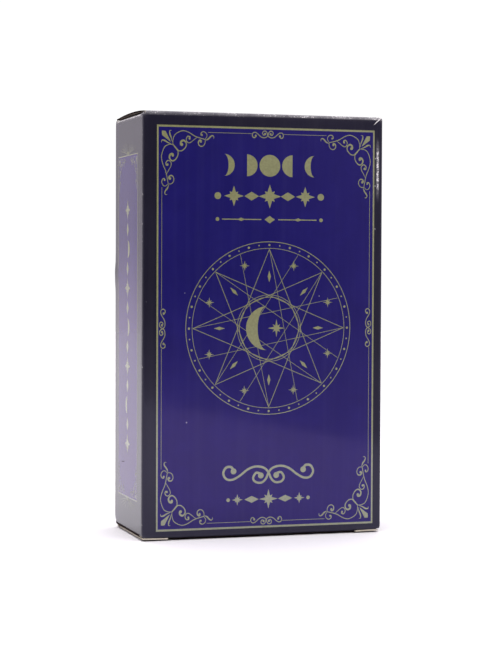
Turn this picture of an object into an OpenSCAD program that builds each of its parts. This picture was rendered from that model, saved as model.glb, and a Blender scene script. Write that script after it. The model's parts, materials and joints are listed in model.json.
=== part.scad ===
// Tuck-end carton holding a deck of seventy-eight tarot cards.
// Millimetres, +Z up. The origin is on the table, under the middle of the carton.
// The front wall faces -Y. The top lid is creased to the front wall and tucks in behind the back wall.
// The bottom lid is creased to the back wall and tucks in behind the front wall.

/* [Cards] */
// Width of a card
card_w = 70; // [56:0.5:90]
// Height of a card
card_h = 120; // [86:0.5:150]
// Thickness of a card
card_t = 0.36; // [0.3:0.01:0.5]
// Radius of a card's corners
card_corner_r = 3.2; // [1:0.1:8]
// Air between two neighbouring cards
card_gap = 0.02; // [0.01:0.005:0.05]

/* [Board] */
// Thickness of the carton's board
board_t = 0.45; // [0.3:0.01:0.6]
// Inner radius of the upright creases between two walls
corner_inner_r = 0.15; // [0.05:0.01:0.4]
// Inner radius of the creases that the lids and dust flaps turn on
crease_inner_r = 0.3; // [0.2:0.01:0.6]
// Inner radius of the creases that the tuck flaps turn on
tuck_inner_r = 0.1; // [0.05:0.01:0.15]
// Air around the round of a crease that turns
crease_clearance = 0.08; // [0.04:0.01:0.15]

/* [Room for the deck] */
// Air on the left and right of the deck
side_clearance = 1.1; // [0.6:0.1:3]
// Air between the deck and the tuck flap on either face
deck_clearance = 0.48; // [0.3:0.01:2]
// Air between the deck and the dust flaps that it rests on
rest_clearance = 0.1; // [0.05:0.01:0.3]
// Air above the deck, which is also its end play
headroom = 2; // [1:0.1:8]

/* [Lids] */
// How far a lid stands in from the outside of each side wall
lid_inset = 0.9; // [0.6:0.05:2]
// Rise of the top lid's bow above its creases
lid_bow = 1.1; // [0.3:0.05:3]
// Where the bow is highest, from the hinge crease to the tuck crease
bow_peak_share = 0.36; // [0.25:0.01:0.75]
// Length of the slits that free the lid's two ears from the tuck flap
slit_l = 7; // [3:0.1:15]
// Air between the ears and the edge of the wall below them
ear_clearance = 0.1; // [0.05:0.01:0.3]

/* [Tuck flaps] */
// Length of a tuck flap from its crease
tuck_l = 13; // [8:0.5:18]
// How far a tuck flap stands in from each end of its lid
tuck_inset = 1.2; // [0.5:0.1:4]
// Radius of a tuck flap's free corners
tuck_corner_r = 6; // [2:0.1:7]
// Air left between a tuck flap and the wall where it swings closest
tuck_play = 0.1; // [0.05:0.01:0.5]

/* [Dust flaps] */
// Length of a dust flap from its crease
dust_l = 22; // [12:0.5:26]
// Angle cut off the side of a dust flap that lies next to the lid's hinge
dust_taper = 30; // [28:1:34]
// Width of the slanting shoulder cut off the side next to the tuck flap
dust_shoulder = 4; // [2:0.1:6]
// Radius of a dust flap's free corners
dust_tip_r = 2.4; // [1:0.1:4]
// Air between a dust flap and the lid and creases around it
dust_clearance = 0.3; // [0.2:0.01:0.5]

/* [Glue flap] */
// Width of the glue flap from the back wall
glue_w = 12; // [6:0.5:20]
// Distance of the glue flap's ends from the carton's ends
glue_end_inset = 4; // [3:0.1:10]
// Angle cut off the glue flap's ends
glue_taper = 20; // [5:1:40]
// Distance of the right wall's raw edge from the face of the back wall
seam_inset = 0.25; // [0.1:0.01:1]

/* [Hidden] */
$fn = 64;
// Facets of the long flat arcs of the bowed lid
bow_fn = 360;
// Length by which a cut runs past what it cuts
overrun = 1;

// Cards by name
MAJOR_CARDS = [
    "fool_card", "magician_card", "high_priestess_card", "empress_card", "emperor_card",
    "hierophant_card", "lovers_card", "chariot_card", "strength_card", "hermit_card",
    "wheel_of_fortune_card", "justice_card", "hanged_man_card", "death_card", "temperance_card",
    "devil_card", "tower_card", "star_card", "moon_card", "sun_card", "judgement_card", "world_card"
];
SUITS = ["wands", "cups", "swords", "pentacles"];
COURT = ["page", "knight", "queen", "king"];
numbers_per_suit = 10;
cards_per_suit = numbers_per_suit + len(COURT);
card_count = len(MAJOR_CARDS) + len(SUITS) * cards_per_suit;
NUMBER_CARDS = [for (suit = SUITS) str(suit, "_number_cards")];
COURT_CARDS = [for (suit = SUITS) [for (rank = COURT) str(suit, "_", rank, "_card")]];

WALLS = ["front_panel", "back_panel", "left_side_panel", "right_side_panel", "glue_flap"];
TOP_END = ["top_lid", "top_tuck_flap", "top_left_dust_flap", "top_right_dust_flap"];
BOTTOM_END = ["bottom_lid", "bottom_tuck_flap", "bottom_left_dust_flap", "bottom_right_dust_flap"];

// Outer radii of the creases: upright, at the lids and dust flaps, and at the tuck flaps
corner_r = board_t + corner_inner_r;
crease_r = board_t + crease_inner_r;
crease_hollow_r = crease_r + crease_clearance;
tuck_crease_r = board_t + tuck_inner_r;

// Deck, and the carton worked out around it
card_pitch = card_t + card_gap;
deck_t = card_count * card_pitch - card_gap;
tuck_swing = tuck_l * tuck_l / (8 * deck_t);
tuck_gap = tuck_swing + tuck_play;
dust_drop = board_t + dust_clearance;
flap_depth = dust_drop + board_t;
deck_z = max(flap_depth, 2 * tuck_crease_r) + rest_clearance;
carton_w = card_w + 2 * (side_clearance + 2 * board_t);
carton_d = deck_t + 2 * (deck_clearance + tuck_gap + 2 * board_t);
carton_h = deck_z + card_h + headroom + flap_depth;
half_w = carton_w / 2;
half_d = carton_d / 2;

// One end of the carton, seen from its own outer plane: +Z leaves the carton, -Y is the hinge side
lid_half = half_w - lid_inset;
hinge_y = -half_d + crease_r;
tuck_y = half_d - board_t - tuck_gap - tuck_crease_r;
lid_run = tuck_y - hinge_y;
bow_front_run = bow_peak_share * lid_run;
bow_back_run = lid_run - bow_front_run;
tuck_half = lid_half - tuck_inset;
tuck_bead_half = lid_half - slit_l - crease_clearance;
plain_edge_drop = board_t + ear_clearance;

// Dust flaps in the same end frame
dust_x = half_w - crease_r;
dust_axis_z = -dust_drop - crease_r;
dust_front = hinge_y + crease_r + dust_clearance;
dust_back = tuck_y - tuck_crease_r - dust_clearance;
dust_width = dust_back - dust_front;
dust_mid = (dust_back + dust_front) / 2;

PRINT_BLUE = "#241c63";
PRINT_NAVY = "#26243a";
CARD_WHITE = "#e9e4d8";
BOARD_GREY = "#cfc9bd";

function toward(from, to) = (to - from) / norm(to - from);
function corner_angle(p, a, b) = acos(toward(p, a) * toward(p, b));

// The two points where a rounding of radius r leaves the corner p between a and b
function tangent_points(p, a, b, r) = r == 0 ? [p] : [
    p + toward(p, a) * r / tan(corner_angle(p, a, b) / 2),
    p + toward(p, b) * r / tan(corner_angle(p, a, b) / 2)
];

// The middle of that rounding
function rounding_centre(p, a, b, r) =
    p + toward([0, 0], toward(p, a) + toward(p, b)) * r / sin(corner_angle(p, a, b) / 2);

// Outline with true round corners, one radius for each point
module rounded_outline(points, radii) {
    n = len(points);
    polygon([
        for (i = [0 : n - 1])
            each tangent_points(points[i], points[(i + n - 1) % n], points[(i + 1) % n], radii[i])
    ]);
    for (i = [0 : n - 1]) {
        if (radii[i] > 0) {
            translate(rounding_centre(points[i], points[(i + n - 1) % n], points[(i + 1) % n], radii[i]))
                circle(radii[i]);
        }
    }
}

// Section in Y and Z carried along X
module along_x(length) {
    rotate([90, 0, 90])
        linear_extrude(length, center = true)
            children();
}

// Section in X and Z carried along Y
module along_y(length) {
    rotate([90, 0, 0])
        linear_extrude(length, center = true)
            children();
}

// The carton's two ends share one shape, turned about X
module at_top() {
    translate([0, 0, carton_h])
        children();
}

module at_bottom() {
    rotate([180, 0, 0])
        children();
}

module turned_end_for_end() {
    translate([0, 0, carton_h])
        rotate([180, 0, 0])
            children();
}

// Half of an upright crease, an eighth of a ring that starts at the given angle
module bend_half(start) {
    reach = 2 * corner_r;
    intersection() {
        difference() {
            circle(corner_r);
            circle(corner_inner_r);
        }
        polygon([
            [0, 0],
            [reach * cos(start), reach * sin(start)],
            [reach * cos(start + 45), reach * sin(start + 45)]
        ]);
    }
}

// Round and room above it that a lid's hinge crease turns in, cut from the wall's edge
module lid_crease_hollow() {
    length = 2 * (lid_half + crease_clearance);
    translate([0, hinge_y, -crease_r]) {
        along_x(length)
            circle(crease_hollow_r);
        translate([-length / 2, -crease_r - overrun, 0])
            cube([length, crease_r + overrun, crease_r + overrun]);
    }
}

// The same for the crease of a left dust flap, cut from the side wall's edge
module dust_crease_hollow() {
    length = dust_width + 2 * crease_clearance;
    translate([-dust_x, dust_mid, dust_axis_z]) {
        along_y(length)
            circle(crease_hollow_r);
        translate([-crease_r - overrun, -length / 2, 0])
            cube([crease_r + overrun, length, crease_r + overrun]);
    }
}

// Wall with a lid's crease along its upper edge and a plain lower edge.
// right_layer is the thickness of board that covers its right-hand crease.
module wide_wall(right_layer) {
    left = -half_w + corner_r;
    right = half_w - right_layer - corner_r;
    difference() {
        translate([0, 0, plain_edge_drop])
            linear_extrude(carton_h - plain_edge_drop - board_t) {
                translate([left, -half_d])
                    square([right - left, board_t]);
                translate([left, -half_d + corner_r])
                    bend_half(225);
                translate([right, -half_d + corner_r])
                    bend_half(270);
            }
        at_top()
            lid_crease_hollow();
    }
}

// Left-hand wall. A raw back edge replaces the back crease where the wall covers the glue flap.
module narrow_wall(raw_back) {
    front = -half_d + corner_r;
    back = raw_back ? half_d - seam_inset : half_d - corner_r;
    difference() {
        translate([0, 0, dust_drop])
            linear_extrude(carton_h - 2 * dust_drop) {
                translate([-half_w, front])
                    square([board_t, back - front]);
                translate([-half_w + corner_r, front])
                    bend_half(180);
                if (!raw_back) {
                    translate([-half_w + corner_r, back])
                        bend_half(135);
                }
            }
        at_top()
            dust_crease_hollow();
        at_bottom()
            dust_crease_hollow();
    }
}

module front_panel() {
    color(PRINT_BLUE)
        wide_wall(0);
}

module back_panel() {
    color(PRINT_BLUE)
        turned_end_for_end()
            wide_wall(board_t);
}

module left_side_panel() {
    color(PRINT_NAVY)
        narrow_wall(false);
}

module right_side_panel() {
    color(PRINT_NAVY)
        mirror([1, 0, 0])
            narrow_wall(true);
}

// Strip folded in from the back wall and glued to the inside of the right wall
module glue_flap() {
    fold = half_d - corner_r;
    edge = half_d - glue_w;
    slant = (fold - edge) * tan(glue_taper);
    low = glue_end_inset;
    high = carton_h - glue_end_inset;
    color(BOARD_GREY)
        intersection() {
            linear_extrude(carton_h) {
                translate([half_w - 2 * board_t, edge])
                    square([board_t, fold - edge]);
                translate([half_w - board_t - corner_r, fold])
                    bend_half(0);
            }
            along_x(carton_w)
                polygon([
                    [half_d, low],
                    [fold, low],
                    [edge, low + slant],
                    [edge, high - slant],
                    [fold, high],
                    [half_d, high]
                ]);
        }
}

// Band of board between two concentric arcs, from the bow's peak to one of its creases
module bow_arc(run, side) {
    r = (run * run + lid_bow * lid_bow) / (2 * lid_bow);
    intersection() {
        translate([0, lid_bow - r])
            difference() {
                circle(r, $fn = bow_fn);
                circle(r - board_t, $fn = bow_fn);
            }
        translate([side < 0 ? -run : 0, -2 * board_t])
            square([run, lid_bow + 3 * board_t]);
    }
}

// Section of the top lid's board between its two creases: two arcs that meet level at the peak
module bowed_board() {
    translate([hinge_y + bow_front_run, 0]) {
        bow_arc(bow_front_run, -1);
        bow_arc(bow_back_run, 1);
    }
}

// Section of the bottom lid's board, which lies flat on the table
module flat_board() {
    translate([hinge_y, -board_t])
        square([lid_run, board_t]);
}

// Lid around the section given: hinge crease, board, and two ears beside the slits
module lid() {
    difference() {
        union() {
            along_x(2 * lid_half)
                translate([hinge_y, -crease_r])
                    circle(crease_r);
            along_x(2 * lid_half)
                children();
            for (side = [-1, 1]) {
                translate([side * (lid_half - slit_l / 2) - slit_l / 2, tuck_y - board_t, -board_t])
                    cube([slit_l, half_d - tuck_y + board_t, board_t]);
            }
        }
        translate([0, tuck_y, -tuck_crease_r])
            along_x(2 * (tuck_bead_half + crease_clearance))
                circle(tuck_crease_r + crease_clearance);
    }
}

// Tuck flap hanging from the crease between a lid's two slits
module tuck_flap() {
    translate([0, tuck_y, -tuck_crease_r])
        along_x(2 * tuck_bead_half)
            circle(tuck_crease_r);
    translate([0, tuck_y + tuck_crease_r - board_t / 2, -tuck_crease_r])
        along_y(board_t)
            rounded_outline(
                [[-tuck_half, 0], [tuck_half, 0], [tuck_half, -tuck_l], [-tuck_half, -tuck_l]],
                [0, 0, tuck_corner_r, tuck_corner_r]
            );
}

// Left dust flap: its crease, and a blade cut back on both sides so that lid and tuck flap clear it
module dust_flap() {
    tip = -dust_x + dust_l;
    tip_front = dust_front + dust_l * tan(dust_taper);
    tip_back = dust_back - dust_shoulder;
    translate([-dust_x, dust_mid, dust_axis_z])
        along_y(dust_width)
            circle(crease_r);
    translate([0, 0, -flap_depth])
        linear_extrude(board_t)
            rounded_outline(
                [
                    [-dust_x, dust_front],
                    [tip, tip_front],
                    [tip, tip_back],
                    [-dust_x + crease_r + dust_shoulder, tip_back],
                    [-dust_x + crease_r, dust_back],
                    [-dust_x, dust_back]
                ],
                [0, dust_tip_r, dust_tip_r, 0, 0, 0]
            );
}

module right_dust_flap() {
    mirror([1, 0, 0])
        dust_flap();
}

module top_lid() {
    color(PRINT_NAVY)
        at_top()
            lid()
                bowed_board();
}

module top_tuck_flap() {
    color(PRINT_NAVY)
        at_top()
            tuck_flap();
}

module top_left_dust_flap() {
    color(BOARD_GREY)
        at_top()
            dust_flap();
}

module top_right_dust_flap() {
    color(BOARD_GREY)
        at_top()
            right_dust_flap();
}

module bottom_lid() {
    color(PRINT_NAVY)
        at_bottom()
            lid()
                flat_board();
}

module bottom_tuck_flap() {
    color(PRINT_NAVY)
        at_bottom()
            tuck_flap();
}

module bottom_left_dust_flap() {
    color(BOARD_GREY)
        at_bottom()
            dust_flap();
}

module bottom_right_dust_flap() {
    color(BOARD_GREY)
        at_bottom()
            right_dust_flap();
}

// One card of the stack, counted from the front of the carton
module card(place) {
    color(CARD_WHITE)
        translate([0, -deck_t / 2 + place * card_pitch + card_t / 2, deck_z])
            along_y(card_t)
                rounded_outline(
                    [[-card_w / 2, 0], [card_w / 2, 0], [card_w / 2, card_h], [-card_w / 2, card_h]],
                    [card_corner_r, card_corner_r, card_corner_r, card_corner_r]
                );
}

// The number cards of one suit, ace to ten
module number_cards(suit) {
    for (number = [0 : numbers_per_suit - 1]) {
        card(len(MAJOR_CARDS) + suit * cards_per_suit + number);
    }
}

// One court card, which follows the number cards of its suit
module court_card(suit, rank) {
    card(len(MAJOR_CARDS) + suit * cards_per_suit + numbers_per_suit + rank);
}

front_panel();
back_panel();
left_side_panel();
right_side_panel();
glue_flap();
top_lid();
top_tuck_flap();
top_left_dust_flap();
top_right_dust_flap();
bottom_lid();
bottom_tuck_flap();
bottom_left_dust_flap();
bottom_right_dust_flap();
for (i = [0 : len(MAJOR_CARDS) - 1]) {
    card(i);
}
for (suit = [0 : len(SUITS) - 1]) {
    number_cards(suit);
    for (rank = [0 : len(COURT) - 1]) {
        court_card(suit, rank);
    }
}
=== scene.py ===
"""Looks of a boxed tarot card deck: a glossy folding carton with gold print, and the loose cards inside it.

Lengths are worked out in millimetres, in the CAD frame: x to the right, -y to the front, z up. Meshes get
metres.
"""
import json
from functools import partialmethod

import bpy
import numpy as np
from mathutils import Matrix, Vector


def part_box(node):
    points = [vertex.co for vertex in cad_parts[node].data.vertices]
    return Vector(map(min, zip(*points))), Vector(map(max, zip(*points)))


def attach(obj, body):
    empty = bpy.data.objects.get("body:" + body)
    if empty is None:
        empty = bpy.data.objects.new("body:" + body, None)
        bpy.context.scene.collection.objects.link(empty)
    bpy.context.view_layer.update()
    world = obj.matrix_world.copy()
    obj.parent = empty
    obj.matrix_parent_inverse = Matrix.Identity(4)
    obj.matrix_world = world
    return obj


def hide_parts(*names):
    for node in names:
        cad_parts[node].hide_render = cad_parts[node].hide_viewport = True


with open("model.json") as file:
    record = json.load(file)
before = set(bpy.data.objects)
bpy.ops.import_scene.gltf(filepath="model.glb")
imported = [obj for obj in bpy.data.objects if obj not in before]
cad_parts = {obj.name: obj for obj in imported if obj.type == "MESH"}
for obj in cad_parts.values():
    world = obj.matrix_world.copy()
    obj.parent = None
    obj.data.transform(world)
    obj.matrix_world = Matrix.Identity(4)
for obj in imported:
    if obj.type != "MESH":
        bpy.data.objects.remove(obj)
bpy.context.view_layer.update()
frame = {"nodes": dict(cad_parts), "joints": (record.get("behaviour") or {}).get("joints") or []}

MM = 0.001

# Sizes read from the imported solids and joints


def cad_box(node):
    """Lowest and highest corner of a CAD node, in millimetres."""
    low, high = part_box(node)
    return np.array(low) / MM, np.array(high) / MM


def joint_at(name):
    """Place of a joint's axis, in millimetres."""
    return np.array(next(j["pos_m"] for j in frame["joints"] if j["name"] == name)) / MM


front_low, front_high = cad_box("front_panel")
side_low = cad_box("left_side_panel")[0]
right_high = cad_box("right_side_panel")[1]
glue_low, glue_high = cad_box("glue_flap")
lid_high = cad_box("top_lid")[1]
tuck_low, tuck_high = cad_box("top_tuck_flap")
dust_low, dust_high = cad_box("top_left_dust_flap")
card_low, card_high = cad_box("fool_card")
last_card_low = cad_box("pentacles_king_card")[0]
hinge = joint_at("top_lid_hinge")
tuck_axis = joint_at("top_tuck_crease")
dust_axis = joint_at("top_left_dust_crease")

HALF_W = right_high[0]
HALF_D = -front_low[1]
CREASE_R = HALF_D + hinge[1]
HEIGHT = hinge[2] + CREASE_R
BOARD = HALF_W - glue_high[0]
LID_HALF = lid_high[0]
LID_BOW = lid_high[2] - HEIGHT
TUCK_Y = tuck_axis[1]
TUCK_R = HEIGHT - tuck_axis[2]
TUCK_L = tuck_axis[2] - tuck_low[2]
TUCK_HALF = tuck_high[0]
DUST_X = -dust_axis[0]
DUST_SINK = HEIGHT - dust_axis[2]
DUST_L = dust_high[0] + DUST_X
DUST_FRONT, DUST_BACK = dust_low[1], dust_high[1]
CORNER_EDGE = HEIGHT - front_high[2]
PLAIN_EDGE = front_low[2]
SIDE_EDGE = side_low[2]
SEAM_Y = right_high[1]
GLUE_END, GLUE_INSET = glue_low[1], glue_low[2]

# Sizes of the folding that the boxes don't give
CORNER_R = 0.6
FOLD_GAP, END_GAP = 0.02, 0.08
LID_OPEN = np.radians(120.0)
BOW_PEAK = 0.46
SLIT_L = 7.0
LID_FLARE, LID_SETTLED = 0.45, 0.6
FLARE_START, FLARE_RUN = 1.2, 3.0
SIDE_TRIM, PLAIN_TRIM = 0.75, 0.48
END_SPRING, EAR_SPRING = 0.26, 0.20
SLIT_EASE, HINGE_HOLD, HINGE_EASE = 3.0, 1.0, 6.0
EAR_SINK = 0.01
PLATE_DEPTH, PLATE_SHARE = 0.1, 0.98
TUCK_CORNER_R = 6.0
DUST_TAPER = np.tan(np.radians(30.0))
DUST_SHOULDER = 4.0
DUST_TIP_R = 2.4
GLUE_TAPER = np.tan(np.radians(20.0))

# Steps between stations, a bend's stations in degrees, and the angle past which an edge is sharp
WALL_STEP, ROW_STEP, LID_STEP = 1.6, 3.0, 1.5
BEND_TURNS = np.array([10, 22, 34, 44.5, 45.5, 56, 68, 80])
SHARP_EDGE = np.radians(35.0)

# How the used board has bent: the walls swell a little, and some corners are bumped
SWELL_WIDE, SWELL_SIDE = 0.14, 0.07
BUMPS = [
    # place, spread, move
    ((-HALF_W, HALF_D, 0.4), 1.9, (0.30, -0.55, 0.75)),
    ((HALF_W, -HALF_D, 0.4), 1.0, (-0.20, 0.05, 0.20)),
    ((HALF_W, -HALF_D, HEIGHT), 0.5, (-0.05, 0.0, 0.30)),
    ((-HALF_W, HALF_D, HEIGHT), 1.2, (0.15, -0.25, -0.15)),
    ((-HALF_W, HALF_D, 77.0), 3.0, (-0.25, 0.10, 0.0)),
]

# Where the print is rubbed: a streak down the right border, whose white is also painted highlight for glints
# on buckled board there, and a lip under the top fold
GLINT_STREAK_INSET, GLINT_STREAK_Z, GLINT_STREAK_HALF = 1.6, 109.0, 9.5
LIP_LEFT, LIP_RIGHT, LIP_EASE = 1.20, 0.95, 0.12

# Round the beads: a lid's print and rubbed fold in degrees, and the turn of a flap's bead that shows
LID_PRINT, RUB_MIDDLE, RUB_SPREAD = -60, -222, 58
BEAD_SHOWN = (-1.2, 1.35)

# Print: places on the front wall in millimetres across and up
FRAME_LEFT, FRAME_RIGHT = -32.75, 34.37
FRAME_LOW, FRAME_TOP = 2.74, 120.48
FRAME_LINE, FRAME_LINE_UP, INNER_LINE = 0.485, 0.56, 0.13
INNER_INSET, INNER_RISE = 1.48, 1.90
SCROLL_END, ORNAMENT_END = 15.3, 4.95
LINE_WEIGHT = 0.85
STRETCH = 1.18
EMBLEM_X, EMBLEM_Z, EMBLEM_R, BACK_EMBLEM = 1.4, 61.6, 25.4, 0.8
ROW_X, MOON_ROW_Z, STAR_ROW_Z = 1.45, 109.3, 100.3
MOON_R, MOON_PITCH = 3.2, 7.0
RULE_Z, RULE_HALF = 93.5, 16.0
DIVIDER_Z, DIVIDER_SCALE, DIVIDER_RISE, SCROLL_MIDDLE = 14.8, 2.9, 3.6, 1.7
MOON_TIP, STAR_SHORT = 0.06, 0.62
wide_field_x = np.array((FRAME_LEFT + FRAME_LINE / 2, FRAME_RIGHT - FRAME_LINE / 2))
wide_field_z = np.array((FRAME_LOW + FRAME_LINE_UP / 2, FRAME_TOP - FRAME_LINE_UP / 2))

# Print of the side walls, in millimetres along y and up
SIDE_FRAME_HALF, SIDE_FRAME_Y = 12.0, 0.5
SIDE_FRAME_LOW, SIDE_FRAME_TOP, SIDE_LINE = 10.85, 112.6, 0.27
SIDE_SCROLL = 0.52
COLUMN_LOW, COLUMN_TOP, COLUMN_COUNT = 26.8, 96.3, 13
side_field_y = SIDE_FRAME_Y + (SIDE_FRAME_HALF - SIDE_LINE / 2) * np.array((-1, 1))
side_field_z = np.array((SIDE_FRAME_LOW + SIDE_LINE / 2, SIDE_FRAME_TOP - SIDE_LINE / 2))

# Film of ink: how far it stands out and sinks in, and the step between strips that cross
INK_LIFT, INK_SINK, INK_STEP, INK_LEVELS = 0.012, 0.05, 0.0015, 7

# Colours, linear
NAVY = (0.0132, 0.0121, 0.0228, 1)
BLUE = (0.0122, 0.0100, 0.1045, 1)
GOLD = (0.233, 0.237, 0.110, 1)
FIBRE = (0.80, 0.78, 0.77, 1)
# Inner board: a grey-brown board, made darker so the gaps into the carton look shaded, partly painted shade
SHADED_INSIDE = (0.15, 0.12, 0.10, 1)
# Near black board for places that lie in shadow: painted shade
PAINTED_SHADE_COLOUR = (0.024, 0.017, 0.016, 1)
CUT = (0.55, 0.50, 0.41, 1)
CARD_WHITE = (0.84, 0.82, 0.76, 1)
FLOOR_WHITE = (0.92, 0.91, 0.92, 1)

# Index of refraction, and tint of the sheen
VARNISH_IOR, VARNISH_TINT = 1.47, (0.62, 0.60, 0.83, 1)
FIELD_TINT = (0.70, 0.52, 1.0, 1)
SIDE_FIELD_IOR, SIDE_FIELD_TINT = 1.45, (0.74, 0.05, 1.0, 1)
INK_IOR, INK_TINT = 2.10, (0.66, 0.74, 1.0, 1)
# The painted shade board's index is close to 1, so it hardly reflects and stays dark
BARE_IOR, PAINTED_SHADE_IOR = 1.4, 1.02

# Card print: insets of the frame's lines and radii of the face's rings, each with half its line's width
CARD_LINES = ((4.0, 0.4), (5.3, 0.12))
CARD_RINGS = ((18.0, 0.3), (16.6, 0.12))
LATTICE_PITCH, LATTICE_HALF = 5.0, 0.16

# Cards in the deck, and the air taken in front of each when they are counted
CARDS, CARD_MARGIN = 78, 0.01

# Shader nodes


class Value:
    """A value, colour or place at a node's output. Arithmetic on it adds Math nodes to its tree."""

    def __init__(self, tree, socket):
        self.tree, self.socket = tree, socket

    def math(self, operation, *others):
        """Math node on this value and the others."""
        return node(self.tree, "Math", dict(enumerate((self, *others))), operation=operation)

    __add__, __sub__ = partialmethod(math, "ADD"), partialmethod(math, "SUBTRACT")
    __mul__, __truediv__ = partialmethod(math, "MULTIPLY"), partialmethod(math, "DIVIDE")
    __lt__, __gt__ = partialmethod(math, "LESS_THAN"), partialmethod(math, "GREATER_THAN")
    __abs__ = partialmethod(math, "ABSOLUTE")
    smaller, larger = partialmethod(math, "MINIMUM"), partialmethod(math, "MAXIMUM")

    def __rsub__(self, other):
        return node(self.tree, "Math", {0: other, 1: self}, operation="SUBTRACT")

    def ramp(self, low, high, to_low=0.0, to_high=1.0):
        """Value taken smoothly from one span to another, and held outside it."""
        span = dict(enumerate((self, low, high, to_low, to_high)))
        return node(self.tree, "MapRange", span, interpolation_type="SMOOTHSTEP")

    def mix(self, first, second):
        """Colour that goes from the first to the second as this value goes from 0 to 1."""
        return node(self.tree, "Mix", {0: self, 6: first, 7: second}, out=2, data_type="RGBA")

    def shade(self, colour):
        """Colour times this value."""
        colour = colour if isinstance(colour, Value) else colour[:3]
        return node(self.tree, "VectorMath", {0: colour, "Scale": self}, operation="SCALE")

    def noise(self, scale, detail=3.0, roughness=0.55):
        """Noise at this place."""
        inputs = {"Vector": self, "Scale": scale, "Detail": detail, "Roughness": roughness}
        return node(self.tree, "TexNoise", inputs, out="Fac")

    def drawn_out(self, share):
        """This place with its height scaled by a share, which draws a pattern out upwards."""
        return node(self.tree, "Mapping", {"Vector": self, "Scale": (1.0, 1.0, share)})

    def split(self):
        """The three coordinates of this place."""
        return node(self.tree, "SeparateXYZ", {0: self}, out=(0, 1, 2))

    def on_lines(self, *lines):
        """1 where this is on either of two lines, each given by its middle and half width in millimetres."""
        first, second = (abs(self - middle * MM) < half * MM for middle, half in lines)
        return first.larger(second)


def wire(tree, socket, value):
    """Link a socket to a value, or set it."""
    if isinstance(value, Value):
        tree.links.new(value.socket, socket)
    else:
        socket.default_value = value


def node(tree, kind, inputs=None, out=0, **settings):
    """New shader node with its settings, and each input set or linked. Gives the outputs asked for."""
    made = tree.nodes.new("ShaderNode" + kind)
    for key, value in settings.items():
        setattr(made, key, value)
    for key, value in (inputs or {}).items():
        wire(tree, made.inputs[key], value)
    if isinstance(out, tuple):
        return [Value(tree, made.outputs[key]) for key in out]
    return Value(tree, made.outputs[out])


def object_place(tree):
    """Place of a point in the piece's own coordinates."""
    return node(tree, "TexCoord", out="Object")


def new_group(name, **inputs):
    """Node group with float inputs and their first values. Gives its tree and each input's value."""
    tree = bpy.data.node_groups.new(name, "ShaderNodeTree")
    for label, value in inputs.items():
        socket = tree.interface.new_socket(name=label, in_out="INPUT", socket_type="NodeSocketFloat")
        socket.default_value = value
    given = tree.nodes.new("NodeGroupInput")
    return tree, [Value(tree, given.outputs[label]) for label in inputs]


def close_group(tree, **outputs):
    """Group with float outputs, each linked to a value."""
    for label in outputs:
        tree.interface.new_socket(name=label, in_out="OUTPUT", socket_type="NodeSocketFloat")
    ends = tree.nodes.new("NodeGroupOutput")
    for label, value in outputs.items():
        wire(tree, ends.inputs[label], value)
    return tree


def use_group(tree, group, **inputs):
    """Group placed in a material with its own values. Gives its outputs by name."""
    made = tree.nodes.new("ShaderNodeGroup")
    made.node_tree = group
    for label, value in inputs.items():
        wire(tree, made.inputs[label], value)
    return {socket.name: Value(tree, socket) for socket in made.outputs}


def fold_wear_group():
    """White board that shows where the coating has cracked: the wear of the surface, broken up by coarse
    and fine noise, with a thin haze where it is only rubbed."""
    tree, (wear, grain, haze) = new_group("fold_wear", Wear=0.0, Grain=900.0, Haze=1.0)
    place = object_place(tree)
    coarse, fine = place.noise(grain * 0.35, 2.0), place.noise(grain, 4.0, 0.7)
    level = wear + (coarse * 0.7 + fine * 1.1 - 0.9)
    rubbed = wear.math("POWER", 2.0) * haze * fine.ramp(0.2, 0.8, 0.3, 0.7)
    return close_group(tree, Mask=level.ramp(0.42, 0.72).larger(rubbed), Crumb=fine)


def varnish_group():
    """Gloss varnish on board: a faint ripple, fine orange peel, uneven gloss, a few specks of dust, and
    upright rub marks along the board's grain."""
    tree, (gloss, peel) = new_group("varnish", Gloss=0.1, Peel=1.0)
    place = object_place(tree)
    ripple, smear = place.noise(95.0, 2.0), place.noise(60.0, 4.0, 0.65)
    specks = {"Vector": place, "Scale": 170.0, "Randomness": 1.0}
    distance, lot = node(tree, "TexVoronoi", specks, out=("Distance", "Color"))
    kept = node(tree, "SeparateColor", {0: lot}) > 0.86
    return close_group(
        tree,
        Height=(place.noise(1100.0, 2.0) * 0.16 + ripple) * peel,
        Roughness=gloss + smear.ramp(0.3, 0.75, 0.0, 0.03),
        Dust=distance.ramp(0.025, 0.05, 1.0, 0.0) * kept,
        Mottle=smear.ramp(0.25, 0.8, 0.9, 1.1),
        Rub=place.drawn_out(0.03).noise(420.0, 3.0, 0.6).ramp(0.40, 0.72))


def paper_group():
    """Uncoated paper: soft clouds, short fibres drawn out along one direction, and a felted surface."""
    tree, (scale, contrast) = new_group("paper", Scale=700.0, Contrast=0.2)
    place = object_place(tree)
    fibre, cloud = place.drawn_out(0.25).noise(scale, 5.0, 0.7), place.noise(scale * 0.06, 3.0)
    swing = (fibre * 0.65 + cloud * 0.35 - 0.5) * contrast
    return close_group(tree, Shade=swing + 1.0, Height=fibre)


FOLD_WEAR, VARNISH, PAPER = fold_wear_group(), varnish_group(), paper_group()

# Materials


def new_material(name):
    """Material with nodes, and its tree."""
    material = bpy.data.materials.new(name)
    material.use_nodes = True
    return material, material.node_tree


def dress(material, colour, roughness, height=None, depth=0.0, strength=0.0, ior=None, tint=None):
    """Material with its colour, roughness, a bump as deep as depth in millimetres, and gloss filled in."""
    tree = material.node_tree
    surface = tree.nodes["Principled BSDF"].inputs
    wire(tree, surface["Base Color"], colour)
    wire(tree, surface["Roughness"], roughness)
    if height:
        relief = {"Height": height, "Distance": depth * MM, "Strength": strength}
        wire(tree, surface["Normal"], node(tree, "Bump", relief))
    if ior:
        surface["IOR"].default_value = ior
    if tint:
        surface["Specular Tint"].default_value = tint
    return material


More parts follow.
